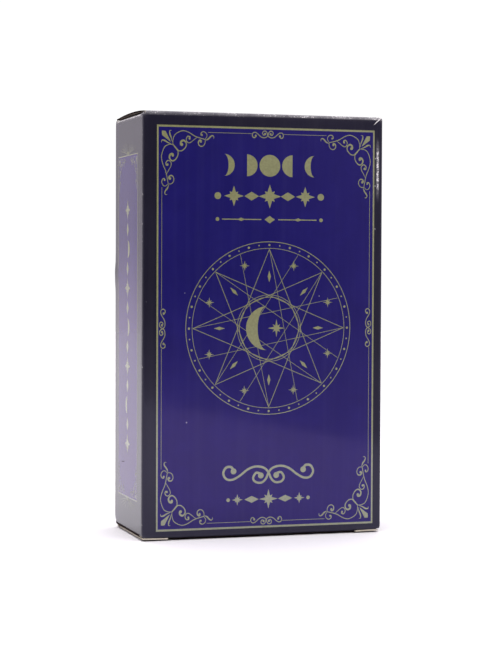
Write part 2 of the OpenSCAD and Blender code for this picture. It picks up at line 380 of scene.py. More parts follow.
def printed_board(name, ink=NAVY, gloss=0.06, haze=1.0, streaks=0.004, ior=VARNISH_IOR, tint=VARNISH_TINT):
    """Varnished print on board, a little dusty and rubbed, and worn white at the folds."""
    material, tree = new_material(name)
    varnish = use_group(tree, VARNISH, Gloss=gloss, Peel=1.0)
    wear = node(tree, "Attribute", out="Fac", attribute_name="wear")
    worn = use_group(tree, FOLD_WEAR, Wear=wear, Grain=3200.0, Haze=haze)
    film = (varnish["Dust"] * 0.35).larger(varnish["Rub"] * streaks)
    dusty = film.mix(varnish["Mottle"].shade(ink), FIBRE)
    height = varnish["Height"] - worn["Mask"] * worn["Crumb"]
    roughness = varnish["Roughness"] + wear * 0.9
    return dress(material, worn["Mask"].mix(dusty, FIBRE), roughness, height, 0.02, 0.35, ior, tint)


def gold_ink():
    """Flat khaki gold ink under the same varnish, a little uneven."""
    material, tree = new_material("gold_ink")
    varnish = use_group(tree, VARNISH, Gloss=0.10, Peel=1.0)
    uneven = object_place(tree).noise(1500.0, 2.0).ramp(0.2, 0.8, 0.88, 1.1)
    return dress(material, uneven.shade(GOLD), varnish["Roughness"], varnish["Height"], 0.02, 0.35,
                 INK_IOR, INK_TINT)


def bare_paper(name, colour, scale, contrast, roughness, ior=BARE_IOR):
    """Uncoated board or paper, darker close to the table: painted contact shade."""
    material, tree = new_material(name)
    paper = use_group(tree, PAPER, Scale=scale, Contrast=contrast)
    # Painted shade: darker in the last half millimetre above the table, where the board meets it
    contact_shade = object_place(tree).split()[2].ramp(0.25 * MM, 0.60 * MM, 0.45, 1.0)
    felted = paper["Height"].ramp(0.2, 0.8, roughness - 0.08, roughness + 0.08)
    return dress(material, (paper["Shade"] * contact_shade).shade(colour), felted, paper["Height"], 0.02, 0.5, ior)


def card_stock():
    """Card: white cut edges that differ from card to card, a framed pale face and a dark latticed back."""
    material, tree = new_material("card_stock")
    place, normal = node(tree, "TexCoord", out=("Object", "Normal"))
    across, deep, up = place.split()
    facing = normal.split()[1]
    paper = use_group(tree, PAPER, Scale=900.0, Contrast=0.25)
    half_w, half_h = float(card_high[0]) * MM, float(card_high[2] - card_low[2]) / 2 * MM
    pitch = (last_card_low[1] - card_low[1]) / (CARDS - 1)
    number = ((deep - (card_low[1] - CARD_MARGIN) * MM) / (pitch * MM)).math("FLOOR")
    lot = node(tree, "TexWhiteNoise", {"W": number}, out="Value", noise_dimensions="1D")
    edge = paper["Shade"].shade(lot.ramp(0.0, 1.0, 0.8, 1.05).shade(CARD_WHITE))

    rise = up - (card_high[2] + card_low[2]) / 2 * MM
    inset = (half_w - abs(across)).smaller(half_h - abs(rise))
    line = inset.on_lines(*CARD_LINES)
    ring = (across * across + rise * rise).math("SQRT").on_lines(*CARD_RINGS)
    face = line.larger(ring).mix(paper["Shade"].shade(CARD_WHITE), BLUE)

    one_way, other_way = (slope.math("PINGPONG", LATTICE_PITCH / 2 * MM) < LATTICE_HALF * MM
                          for slope in (across + rise, across - rise))
    field = inset > CARD_LINES[1][0] * MM
    pattern = (one_way.larger(other_way) * field).larger(line)
    back = pattern.mix(field.mix(NAVY, BLUE), GOLD)

    flat = (facing > 0.0).mix(face, back)
    side = abs(facing) < 0.5
    return dress(material, side.mix(flat, edge), side.ramp(0.0, 1.0, 0.3, 0.8), paper["Height"], 0.01, 0.4)


wide_print = printed_board("wide_print")
wide_field_print = printed_board("wide_field_print", BLUE, tint=FIELD_TINT)
side_print = printed_board("side_print", streaks=0.02)
side_field_print = printed_board("side_field_print", BLUE, streaks=0.02, ior=SIDE_FIELD_IOR,
                                 tint=SIDE_FIELD_TINT)
plain_print = printed_board("plain_print", haze=2.2)
flap_print = printed_board("flap_print", gloss=0.6)
gold = gold_ink()
# The inner board's colour is darkened: partly painted shade for the gaps into the carton
inside_board = bare_paper("inside_board", SHADED_INSIDE, 500.0, 0.30, 0.82)
cut_board = bare_paper("cut_board", CUT, 1400.0, 0.65, 0.9)
# Painted shade: a near black board for the shadowed gap under the top lid, the bottom folds and a dent
painted_shade_edge = bare_paper("painted_shade_edge", PAINTED_SHADE_COLOUR, 1400.0, 0.5, 0.9, PAINTED_SHADE_IOR)
torn_board = bare_paper("torn_board", FIBRE, 1600.0, 0.5, 0.85)
card_material = card_stock()

# Finishes of the carton's pieces: a zone of faces is known by its finish's place in the list
SLEEVE_FINISHES = [wide_print, side_print, inside_board, cut_board, side_field_print, wide_field_print]
LID_FINISHES = [plain_print, inside_board, cut_board, painted_shade_edge]
FLAP_FINISHES = [flap_print, inside_board, cut_board, plain_print, painted_shade_edge]

# Meshes


def band(loops, zones=0, cap_zone=0, ring=False, wear=0.0):
    """Closed skin of a loop of points carried along a row of stations: a quad between each two neighbours,
    and a flat face at either end, or the last station joined to the first in a ring. It is turned outwards,
    which is where the sum of the volumes between the middle and each triangle is positive."""
    stations, around = loops.shape[:2]
    index = np.arange(stations * around).reshape(stations, around)
    rows = np.concatenate([index, index[:1]]) if ring else index
    quads = np.stack([rows[:-1], np.roll(rows[:-1], -1, 1), np.roll(rows[1:], -1, 1), rows[1:]], -1)
    zones = np.broadcast_to(zones, quads.shape[:2]).ravel()
    quads = quads.reshape(-1, 4)
    caps = np.zeros((0, around), int) if ring else np.stack([index[0][::-1], index[-1]])
    points = loops.reshape(-1, 3)
    fans = np.stack([np.repeat(caps[:, :1], around - 2, 1), caps[:, 1:-1], caps[:, 2:]], -1).reshape(-1, 3)
    triangles = np.concatenate([quads[:, [0, 1, 2]], quads[:, [0, 2, 3]], fans])
    a, b, c = np.moveaxis((points - points.mean(0))[triangles], 1, 0)
    if np.einsum("ij,ij->", a, np.cross(b, c)) < 0:
        quads, caps = quads[:, ::-1], caps[:, ::-1]
    return {"points": points, "faces": quads.tolist() + caps.tolist(),
            "zones": np.concatenate([zones, np.full(len(caps), cap_zone)]),
            "wear": np.broadcast_to(wear, (stations, around)).ravel()}


def add_piece(name, bands, finishes, body, stands_for=(), smooth=True):
    """One mesh object of all the bands, riding on a body, with the wear of each point as an attribute."""
    points, zones, wear = (np.concatenate([b[key] for b in bands]) for key in ("points", "zones", "wear"))
    starts = np.cumsum([0] + [len(b["points"]) for b in bands]).tolist()
    faces = [[corner + start for corner in face] for b, start in zip(bands, starts) for face in b["faces"]]
    mesh = bpy.data.meshes.new(name)
    mesh.from_pydata((points * MM).tolist(), [], faces)
    mesh.polygons.foreach_set("material_index", zones.astype(np.int32))
    mesh.polygons.foreach_set("use_smooth", np.full(len(faces), smooth))
    mesh.attributes.new("wear", "FLOAT", "POINT").data.foreach_set("value", wear.astype(np.float32))
    if smooth:
        mesh.set_sharp_from_angle(angle=SHARP_EDGE)
    for finish in finishes:
        mesh.materials.append(finish)
    piece = bpy.data.objects.new(name, mesh)
    bpy.context.scene.collection.objects.link(piece)
    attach(piece, body)
    if stands_for:
        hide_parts(*stands_for)


def bumped(points):
    """Points pushed by each bump's move, which fades with the square of the distance from its place."""
    place, spread, move = (np.array(part, float) for part in zip(*BUMPS))
    near = np.exp(-(((points[..., None, :] - place) / spread[:, None]) ** 2).sum(-1))
    return points + near @ move


def wide_swell(x, z):
    """Outward swell of the front and back walls: a low dome that falls to nothing at the four folds, with a
    slow wave across and another upwards."""
    across, up = x / (HALF_W - CORNER_R), 2 * z / HEIGHT - 1
    waves = 1 + 0.35 * np.sin(2.3 * across + 1.1) + 0.3 * np.sin(3.1 * up - 0.6)
    return SWELL_WIDE * waves * np.clip(1 - across ** 2, 0, 1) * np.clip(1 - up ** 4, 0, 1)


def side_swell(y, z):
    """Outward swell of the side walls: such a dome, with a slow wave upwards."""
    across, up = y / (HALF_D - CORNER_R), 2 * z / HEIGHT - 1
    waves = 1 + 0.5 * np.sin(4.0 * up + 0.4)
    return SWELL_SIDE * waves * np.clip(1 - across ** 2, 0, 1) * np.clip(1 - up ** 4, 0, 1)


def within(values, span):
    """Where values lie between the two ends of a span."""
    return (values > span[0]) & (values < span[1])


def fade(strength, distance, reach):
    """Wear near a line: the strength times e to the minus square of the distance over the reach."""
    return strength * np.exp(-(distance / reach) ** 2)


def eased(share):
    """Share from 0 to 1 with level ends: three of its squares less two of its cubes."""
    share = np.clip(share, 0, 1)
    return share * share * (3 - 2 * share)


def spaced(start, stop, step, breaks=()):
    """Even stations from start to stop, closer together near both, and a pair of close ones at each break."""
    low, high = min(start, stop), max(start, stop)
    even = np.linspace(low, high, int((high - low) / step) + 2)
    near = np.array([0.25, 0.5, 0.8, 1.15, 1.6, 2.2])
    pairs = np.array([b + side * FOLD_GAP for b in breaks for side in (-1, 1)])
    stations = np.unique(np.concatenate([even, low + near, high - near, pairs[within(pairs, (low, high))]]))
    return stations if stop > start else stations[::-1]


def edge_rows():
    """Shares of a wall's height, close together near both ends, with one at each end of the printed field
    of the front, back and side walls, as their heights at the middle give it."""
    near = np.array([0, 0.12, 0.3, 0.55, 0.9, 1.4, 2.1, 3.1, 4.5, 6.5, 9.0])
    middle = np.arange(near[-1] + ROW_STEP, HEIGHT - near[-1], ROW_STEP)
    x, y, wall = np.array([(0, -HALF_D, 1), (0, HALF_D, 3), (-HALF_W, 0, 2)]).T
    bottom, top = (end_edges(x, y, wall, np.zeros((1, 1)), end) for end in (-1, 1))
    field_ends = (np.array([wide_field_z, wide_field_z, side_field_z]) - bottom) / (top - bottom)
    even = np.concatenate([near, middle, HEIGHT - near[::-1]]) / HEIGHT
    return np.sort(np.concatenate([even, field_ends.ravel()]))


def sheet_line():
    """Outer line of the sheet that wraps the carton: from the raw back edge of the right wall round the
    front, left and back walls to the end of the glue flap, as straight stretches and quarter arcs. Gives x,
    y, the outward direction and the wall (0 right, 1 front, 2 left, 3 back, 4 glue flap, and half past it
    for the arc that follows a wall)."""
    wide_breaks = (-LID_HALF - END_GAP, LID_HALF + END_GAP, *wide_field_x)
    dust_ends = np.array((DUST_FRONT - END_GAP, DUST_BACK + END_GAP))
    side_breaks = np.concatenate([-dust_ends, dust_ends, side_field_y])
    left, right, front, back = -HALF_W, HALF_W, -HALF_D, HALF_D
    flap_x = right - BOARD
    runs = [
        (right, spaced(SEAM_Y, front + CORNER_R, WALL_STEP, side_breaks), (1, 0)),
        (front, spaced(right - CORNER_R, left + CORNER_R, WALL_STEP, wide_breaks), (0, -1)),
        (left, spaced(front + CORNER_R, back - CORNER_R, WALL_STEP, side_breaks), (-1, 0)),
        (back, spaced(left + CORNER_R, flap_x - CORNER_R, WALL_STEP, wide_breaks), (0, 1)),
        (flap_x, spaced(back - CORNER_R, GLUE_END, WALL_STEP), (1, 0)),
    ]
    arcs = [(right - CORNER_R, front + CORNER_R), (left + CORNER_R, front + CORNER_R),
            (left + CORNER_R, back - CORNER_R), (flap_x - CORNER_R, back - CORNER_R)]
    rows = []
    for wall, (level, along, out) in enumerate(runs):
        level = np.full_like(along, level)
        x, y = (level, along) if out[0] else (along, level)
        rows.append(np.stack([x, y, *(np.full_like(x, value) for value in (*out, wall))], 1))
        if wall < len(arcs):
            turn = np.radians(-90.0 * wall - BEND_TURNS)
            out = np.stack([np.cos(turn), np.sin(turn)], 1)
            bend = np.full((len(turn), 1), wall + 0.5)
            rows.append(np.concatenate([arcs[wall] + CORNER_R * out, out, bend], 1))
    return np.concatenate(rows).T


def end_edges(x, y, wall, depth, end):
    """Level of the sheet's cut edge at each station and depth in the board. Below a crease it follows the
    crease's round bead at the fold gap, level = axis - root(bead radius squared - distance to the axis
    squared), and beside the creases it is straight. A lid's hinge wall also stays under the plane of the
    lid's printed face when it is wide open, which touches the bead a quarter turn past the opening. The
    bottom is the top turned about x, so y changes sign there."""
    y = y * end
    hinge_wall = (y < -HALF_D + CORNER_R + FOLD_GAP) & (np.abs(x) < LID_HALF + END_GAP)
    side_wall = (np.abs(x) > HALF_W - CORNER_R) & (np.abs(y) < HALF_D - CORNER_R)
    dust_wall = side_wall & within(y, (DUST_FRONT - END_GAP, DUST_BACK + END_GAP))
    round_cut = np.sqrt((CREASE_R + FOLD_GAP) ** 2 - (CREASE_R - depth) ** 2)
    side = np.abs(x) - (HALF_W - CORNER_R) > np.abs(y) - (HALF_D - CORNER_R)
    trimmed = SIDE_EDGE + (SIDE_TRIM if end < 0 else 0)
    plain = PLAIN_EDGE + (PLAIN_TRIM if end < 0 else 0)
    straight_cut = np.where(side, trimmed, np.where(y < 0, CORNER_EDGE, plain))[:, None] + 0 * depth
    lid_face = (CREASE_R + FOLD_GAP - np.sin(LID_OPEN) * (CREASE_R - depth)) / -np.cos(LID_OPEN)
    beyond = depth < CREASE_R * (1 - np.sin(LID_OPEN))
    hinge_cut = np.where(beyond, np.maximum(round_cut, lid_face), round_cut)
    level = np.where(hinge_wall[:, None], CREASE_R + hinge_cut, straight_cut)
    level = np.where(dust_wall[:, None], DUST_SINK + round_cut, level)
    past_bend = np.abs(y) - (HALF_D - CORNER_R) < x - (HALF_W - BOARD - CORNER_R)
    flap = (wall == 4) | ((wall == 3.5) & past_bend)
    taper = GLUE_INSET + np.clip(HALF_D - np.abs(y), 0, None) * GLUE_TAPER
    level = np.where(flap[:, None], taper[:, None] + 0 * depth, level)
    return HEIGHT - level if end > 0 else level


def sleeve_wear(points):
    """Wear of the printed sheet: strong at the corners, slight along the upright folds and the top and bottom
    edges, with a rubbed streak down the front's right border whose white is also painted highlight for
    glints, and a rubbed lip under the top fold that is wider on the left. All but the lip fade from their
    lines."""
    x, y, z = np.moveaxis(points, -1, 0)
    across, deep, up = HALF_W - np.abs(x), HALF_D - np.abs(y), np.minimum(z, HEIGHT - z)
    side, front = across < deep, y < -HALF_D + CORNER_R
    fold = np.where(side, fade(0.32, deep, 1.5), fade(0.24, across, 0.45))
    rim = np.where(side, fade(0.45, up - 1.7, 0.25), fade(0.14, up - 0.9, 0.7))
    corner = fade(0.6, np.sqrt(across ** 2 + deep ** 2 + up ** 2), np.sqrt(2.5))
    # Painted highlight: the streak's white stands in for glints on buckled board, together with rub wear
    glint_streak_z = np.clip(1 - np.abs((z - GLINT_STREAK_Z) / GLINT_STREAK_HALF) ** 4, 0, 1)
    glint_streak = front * fade(0.68, x - HALF_W + GLINT_STREAK_INSET, 0.55) * glint_streak_z
    lip = LIP_LEFT + (LIP_RIGHT - LIP_LEFT) * (x + HALF_W) / (2 * HALF_W)
    under_fold = front * 0.50 * np.clip((lip - HEIGHT + z) / LIP_EASE, 0, 1)
    return np.max([fold, rim, corner, glint_streak, under_fold], axis=0)


def sleeve():
    """The carton's four walls and glue flap, one sheet of board: at each station of the sheet's line, a
    loop that runs up the printed face, over the top edge, down the inner face and back under the bottom
    edge. Faces inside the printed fields have a zone of their own."""
    x, y, out_x, out_y, wall = sheet_line()
    depth = np.linspace(0, BOARD, 6)[None, :]
    top, bottom = (end_edges(x, y, wall, depth, end) for end in (1, -1))
    rows = edge_rows()
    back_rows = rows[::-2]
    up = bottom[:, :1] + (top[:, :1] - bottom[:, :1]) * rows
    down = bottom[:, -1:] + (top[:, -1:] - bottom[:, -1:]) * back_rows
    z = np.concatenate([up, top[:, 1:-1], down, bottom[:, -2:0:-1]], 1)
    sunk = np.concatenate([0 * rows, depth[0, 1:-1], BOARD + 0 * back_rows, depth[0, -2:0:-1]])
    swell = np.isin(wall, (1, 3))[:, None] * wide_swell(x[:, None], z)
    swell = swell + np.isin(wall, (0, 2))[:, None] * side_swell(y[:, None], z) - sunk
    points = np.stack([x[:, None] + out_x[:, None] * swell, y[:, None] + out_y[:, None] * swell, z], -1)

    zone = SLEEVE_FINISHES.index
    parts = ((wide_print, len(rows) - 1), (cut_board, depth.size - 1),
             (inside_board, len(back_rows) - 1), (cut_board, depth.size - 1))
    face = np.repeat([zone(finish) for finish, count in parts], [count for finish, count in parts])
    printed = face == zone(wide_print)
    narrow = np.isin(wall[:-1], (0, 0.5, 2, 2.5))[:, None]
    zones = np.where(printed & narrow, zone(side_print), face)
    zones = np.where(printed & (wall[:-1] == 4)[:, None], zone(inside_board), zones)
    after = np.roll(z, -1, 1)
    middle_z = ((z + after)[:-1] + (z + after)[1:]) / 4
    for border, field, along, span, span_z in (
            (side_print, side_field_print, y, side_field_y, side_field_z),
            (wide_print, wide_field_print, x, wide_field_x, wide_field_z)):
        inside = within((along[:-1] + along[1:]) / 2, span)[:, None] & within(middle_z, span_z)
        zones = np.where(inside & (zones == zone(border)), zone(field), zones)
    skin = band(bumped(points), zones, zone(cut_board), wear=sleeve_wear(points))
    add_piece("carton_sleeve", [skin], SLEEVE_FINISHES, "carton",
              ("front_panel", "back_panel", "left_side_panel", "right_side_panel", "glue_flap"))


def end_place(points, end):
    """Points given for the top, with z from the end's plane, put there or, turned about x, at the bottom."""
    x, y, z = np.moveaxis(points, -1, 0)
    return np.stack([x, y, HEIGHT + z] if end > 0 else [x, -y, -z], -1)


def bow(y, height):
    """Rise of the lid between its creases: two arcs that meet level at the peak."""
    if not height:
        return 0 * y
    start, run = hinge[1], TUCK_Y - hinge[1]
    peak = start + BOW_PEAK * run
    reach = np.where(y < peak, BOW_PEAK * run, (1 - BOW_PEAK) * run)
    radius = (reach ** 2 + height ** 2) / (2 * height)
    rise = height - radius + np.sqrt(radius ** 2 - np.clip(np.abs(y - peak), 0, reach) ** 2)
    return np.where(y > TUCK_Y, 0, np.maximum(rise, 0))


def sprung(x, y, end):
    """How far the bottom lid's ends have sprung in: full past both slits and away from the hinge."""
    past_slit = eased((np.abs(x) - LID_HALF + SLIT_L) / SLIT_EASE + 0.5)
    past_hinge = eased((y - hinge[1] - HINGE_HOLD) / HINGE_EASE)
    return END_SPRING * (end < 0) * past_slit * past_hinge


def flare(side, end):
    """How much wider than its hinge a lid is on one side. The bottom one is trimmed on the right."""
    return LID_FLARE * (1 - np.maximum(side, 0) * (end < 0))


def lid(end, name, height):
    """Lid: round the hinge bead, along the printed face to the tuck crease, which hollows its end, and back
    underneath, carried from one end to the other. Its two ears run on over the opposite wall beside the
    slits. The fold is rubbed white, more or less along its length as two waves give it."""
    zone = LID_FINISHES.index
    degrees = np.linspace(np.degrees(np.arcsin((CREASE_R - BOARD) / CREASE_R)), -270, 48)
    turn = np.radians(degrees)
    bead = np.stack([hinge[1] + CREASE_R * np.cos(turn), -CREASE_R + CREASE_R * np.sin(turn)], 1)
    depth = np.linspace(0, BOARD, 5)
    hollow = TUCK_Y - np.sqrt((TUCK_R + FOLD_GAP) ** 2 - (TUCK_R - depth) ** 2)
    share = np.linspace(0, 1, 40)
    over = hinge[1] + (hollow[0] - hinge[1]) * share[1:]
    under = bead[0, 0] + (hollow[-1] - bead[0, 0]) * share[::-1][:-1]
    rest = [(over, 0), (hollow[1:-1], depth[1:-1]), (under, BOARD)]
    profile = np.concatenate([bead] + [np.stack([y, bow(y, height) - sunk], 1) for y, sunk in rest])

    x = spaced(-LID_HALF, LID_HALF, LID_STEP)
    past = np.clip((profile[:, 0] - hinge[1] - FLARE_START) / FLARE_RUN, 0, 1)
    wide = x[:, None] * (1 + (flare(np.sign(x), end) / LID_HALF)[:, None] * past)
    deep, rises = np.broadcast_to(profile.T[:, None], (2,) + wide.shape)
    loops = np.stack([wide, deep, rises - sprung(wide, deep, end)], -1)
    zones = np.concatenate([
        np.where(degrees < LID_PRINT, zone(plain_print), zone(inside_board)),
        np.full(len(over) - 1, zone(plain_print)), np.full(len(hollow) - 1, zone(cut_board)),
        np.full(len(under), zone(inside_board))])

    fold = np.clip(fade(1.5, degrees - RUB_MIDDLE, RUB_SPREAD), 0, 1)
    along = np.concatenate([fold, fade(0.6, over - over[0], 4.0), np.zeros(len(hollow) - 2 + len(under))])
    rubbed = 0.42 + 0.06 * x / LID_HALF + 0.05 * np.sin(0.55 * x + 1.0) + 0.03 * np.sin(1.7 * x)
    wear = np.maximum(rubbed[:, None] * along, fade(0.25, LID_HALF - np.abs(x), 0.8)[:, None])
    # Painted shade: the top lid's cut ends are near black, standing for the shadowed gap under the bowed lid;
    # the bottom ones are bare cut board
    cut = zone(painted_shade_edge if end > 0 else cut_board)
    bands = [band(end_place(loops, end), zones, cut, wear=wear)]
    bands += [ear(end, side, hollow[-1] - BOARD, cut) for side in (-1, 1)]
    bands += [bead_end(side, end) for side in (-1, 1)]
    add_piece(name, bands, LID_FINISHES, name, (name,))


def bead_end(side, end):
    """Cut end of a lid's hinge bead: a thin round plate, a little smaller, just past the bead's end."""
    turn = np.linspace(0, 2 * np.pi, 33)[:-1]
    x = side * (LID_HALF + np.array([-PLATE_DEPTH, FOLD_GAP]))[:, None] + 0 * turn
    radius = PLATE_SHARE * CREASE_R + 0 * x
    loops = np.stack([x, hinge[1] + radius * np.cos(turn), -CREASE_R + radius * np.sin(turn)], -1)
    cut = LID_FINISHES.index(cut_board)
    return band(end_place(loops, end), cut, cut)


def ear(end, side, start, rim):
    """Ear of a lid beside its slit: a flat tongue of board that reaches over the opposite wall's edge."""
    zone = LID_FINISHES.index
    y = np.linspace(start, HALF_D, 8)[:, None]
    slit, tip = LID_HALF - SLIT_L, LID_HALF + flare(side, end)
    across = side * np.array([slit, tip, tip, slit]) + 0 * y
    deep = y + 0 * across
    sunk = np.array([EAR_SINK, EAR_SINK, BOARD, BOARD])
    drop = EAR_SPRING * (end < 0) * (deep - start) / (HALF_D - start)
    loops = np.stack([across, deep, -sunk - sprung(across, deep, end) - drop], -1)
    zones = np.array([zone(plain_print), rim, zone(inside_board), zone(cut_board)])
    return band(end_place(loops, end), zones, zone(cut_board), wear=fade(0.3, HALF_D - y, 0.6))


def bead_band(centre, radius, low, high, side, end):
    """Round bead of a crease, from low to high along x for a tuck flap (side 0) or along y for a dust flap.
    Its angle is 0 outside. What shows is varnished at the top and painted dark at the bottom as the shade
    under the carton's edge, and the rest is bare print."""
    zone = FLAP_FINISHES.index
    turn = np.linspace(-np.pi, np.pi, 49)[:-1]
    along = np.linspace(low, high, 24)[:, None] + 0 * turn
    out, up = centre[0] + radius * np.cos(turn) + 0 * along, centre[1] + radius * np.sin(turn) + 0 * along
    loops = np.stack([side * out, along, up] if side else [along, out, up], -1)
    # Painted shade: at the bottom the bead's showing turn gets the near black board, for the shadow under the
    # carton
    outside = zone(plain_print if end > 0 else painted_shade_edge)
    zones = np.where(within(turn, BEAD_SHOWN), outside, zone(flap_print))
    wear = fade(0.62 if side else 0.45, turn - 0.5, 0.6)
    return band(end_place(loops, end), zones, zone(cut_board), wear=wear)


def slab(reach, low, high, place, end):
    """Flat blade of board: at each distance along it, a loop across its printed face from low to high and
    back across its inner face. place gives the points for distance, place across and depth."""
    across = np.linspace(0, 1, 14)
    share = np.concatenate([across, across[::-1]])
    depth = np.concatenate([0 * across, BOARD + 0 * across])
    span = low[:, None] + (high - low)[:, None] * share
    loops = place(np.broadcast_to(reach[:, None], span.shape), span, np.broadcast_to(depth, span.shape))
    sides = [FLAP_FINISHES.index(finish) for finish in (flap_print, cut_board, inside_board, cut_board)]
    zones = np.repeat(sides, [len(across) - 1, 1, len(across) - 1, 1])
    rim = np.minimum(share, 1 - share)[None, :] * (high - low)[:, None]
    wear = fade(0.4, rim, 0.5) * (depth == 0)
    return band(end_place(loops, end), zones, FLAP_FINISHES.index(cut_board), wear=wear)


def rounded_in(distance, length, radius):
    """How far a rounded corner cuts into a blade's side at a distance along it: the radius less the height
    of the circle there."""
    past = np.clip(distance - (length - radius), 0, radius)
    return radius - np.sqrt(radius ** 2 - past ** 2)


def blade_rows(length, radius):
    """Distances along a blade, close together round its end corners."""
    bend = length - radius + radius * np.sin(np.linspace(0, np.pi / 2, 12))
    return np.concatenate([np.linspace(0, length - radius, 14)[:-1], bend])


def tuck_flap(end, name):
    """Tuck flap: a crease's bead between the slits, and a round-cornered blade that hangs behind the wall."""
    reach = blade_rows(TUCK_L, TUCK_CORNER_R)
    half = TUCK_HALF - rounded_in(reach, TUCK_L, TUCK_CORNER_R)

    def place(along, across, depth):
        """Point of the hanging blade."""
        return np.stack([across, TUCK_Y + TUCK_R - depth, -TUCK_R - along], -1)

    bead_half = LID_HALF - SLIT_L - END_GAP
    bands = [bead_band((TUCK_Y, -TUCK_R), TUCK_R, -bead_half, bead_half, 0, end),
             slab(reach, -half, half, place, end)]
    add_piece(name, bands, FLAP_FINISHES, name, (name,))


def dust_flap(end, side, name):
    """Dust flap: the crease's bead along the side wall, and a blade cut back to both sides, with a shoulder
    by the tuck flap and round tip corners."""
    reach = blade_rows(DUST_L, DUST_TIP_R)
    cut = rounded_in(reach, DUST_L, DUST_TIP_R)
    front = DUST_FRONT + reach * DUST_TAPER + cut
    back = DUST_BACK - np.clip(reach - CREASE_R, 0, DUST_SHOULDER) - cut

    def place(along, across, depth):
        """Point of the blade that lies under the lid."""
        return np.stack([side * (DUST_X - along), across, -DUST_SINK + CREASE_R - depth], -1)

    bands = [bead_band((DUST_X, -DUST_SINK), CREASE_R, DUST_FRONT, DUST_BACK, side, end),
             slab(reach, front, back, place, end)]
    add_piece(name, bands, FLAP_FINISHES, name, (name,))


sleeve()
for end, word in ((1, "top"), (-1, "bottom")):
    lid(end, word + "_lid", LID_BOW - LID_SETTLED if end > 0 else 0.0)
    tuck_flap(end, word + "_tuck_flap")
    for side, hand in ((-1, "left"), (1, "right")):
        dust_flap(end, side, f"{word}_{hand}_dust_flap")

# Gold print: flat strips of ink between two rails, laid on a wall


def smooth_line(points, count):
    """Curve through the points: on each stretch a cubic, whose slope at a point is half the step between
    that point's two neighbours."""
    p = np.array(points, float)
    p = np.concatenate([2 * p[:1] - p[1:2], p, 2 * p[-1:] - p[-2:-1]])
    s = np.linspace(0, len(p) - 3, count)
    i = np.minimum(s.astype(int), len(p) - 4)
    t = (s - i)[:, None]
    a, b, c, d = p[i], p[i + 1], p[i + 2], p[i + 3]
    square, cube = 2 * a - 5 * b + 4 * c - d, 3 * b - a - 3 * c + d
    return 0.5 * (2 * b + (c - a) * t + square * t ** 2 + cube * t ** 3)


def stroke(points, widths, count=0):
    """Strip along a smooth line through the points, whose width goes evenly through the widths."""
    line = smooth_line(points, count or 7 * len(points))
    step = np.gradient(line, axis=0)
    out = np.stack([-step[:, 1], step[:, 0]], 1) / np.linalg.norm(step, axis=1)[:, None]
    width = np.interp(np.linspace(0, 1, len(line)), np.linspace(0, 1, len(widths)), widths)
    half = width[:, None] * LINE_WEIGHT / 2
    return line - out * half, line + out * half, False


def straight(start, stop, width):
    """Strip of one width along a straight line."""
    line = np.array(start) + np.linspace(0, 1, 30)[:, None] * (np.array(stop) - np.array(start))
    along = (line[-1] - line[0]) / np.linalg.norm(line[-1] - line[0])
    out = np.array([-along[1], along[0]]) * width / 2
    return line - out, line + out, False


def moon(centre, radius, inner=-1.0, side=1):
    """Disc with one edge drawn in to a share of the radius, as in the moon's phases: -1 is full, 0 half."""
    turn = np.linspace(-np.pi / 2 + MOON_TIP, np.pi / 2 - MOON_TIP, 25)
    rim = np.stack([side * radius * np.cos(turn), radius * np.sin(turn)], 1) + centre
    return rim, rim - np.stack([side * radius * (1 - inner) * np.cos(turn), 0 * turn], 1), False


def ring(centre, radius, width):
    """Round strip of one width."""
    turn = np.linspace(0, 2 * np.pi, 97)[:-1]
    out = np.stack([np.cos(turn), np.sin(turn)], 1)
    return np.array(centre) + out * (radius - width / 2), np.array(centre) + out * (radius + width / 2), True


def lozenge(centre, length, width, angle=0.0):
    """Four-sided diamond, with its length along the angle in degrees."""
    along = np.array([np.cos(np.radians(angle)), np.sin(np.radians(angle))])
    line = np.array(centre) + np.array([-0.49, 0, 0.49])[:, None] * length * along
    half = np.array([0.01, 0.5, 0.01])[:, None] * width * np.array([-along[1], along[0]])
    return line - half, line + half, False


def star(centre, radius, waist):
    """Eight-pointed star of four crossed diamonds, every second one shorter."""
    reach = (2 * radius, 2 * radius * STAR_SHORT)
    return [lozenge(centre, reach[k % 2], radius * waist, 45 * k) for k in range(4)]


def placed(strips, place, scale, turned=False):
    """Strips with their points times a scale, across and up, and put at a place. In turned ones across and
    up change places first."""
    order = [1, 0] if turned else [0, 1]
    return [(*(np.array(place) + rail[:, order] * scale for rail in rails), closed)
            for *rails, closed in strips]


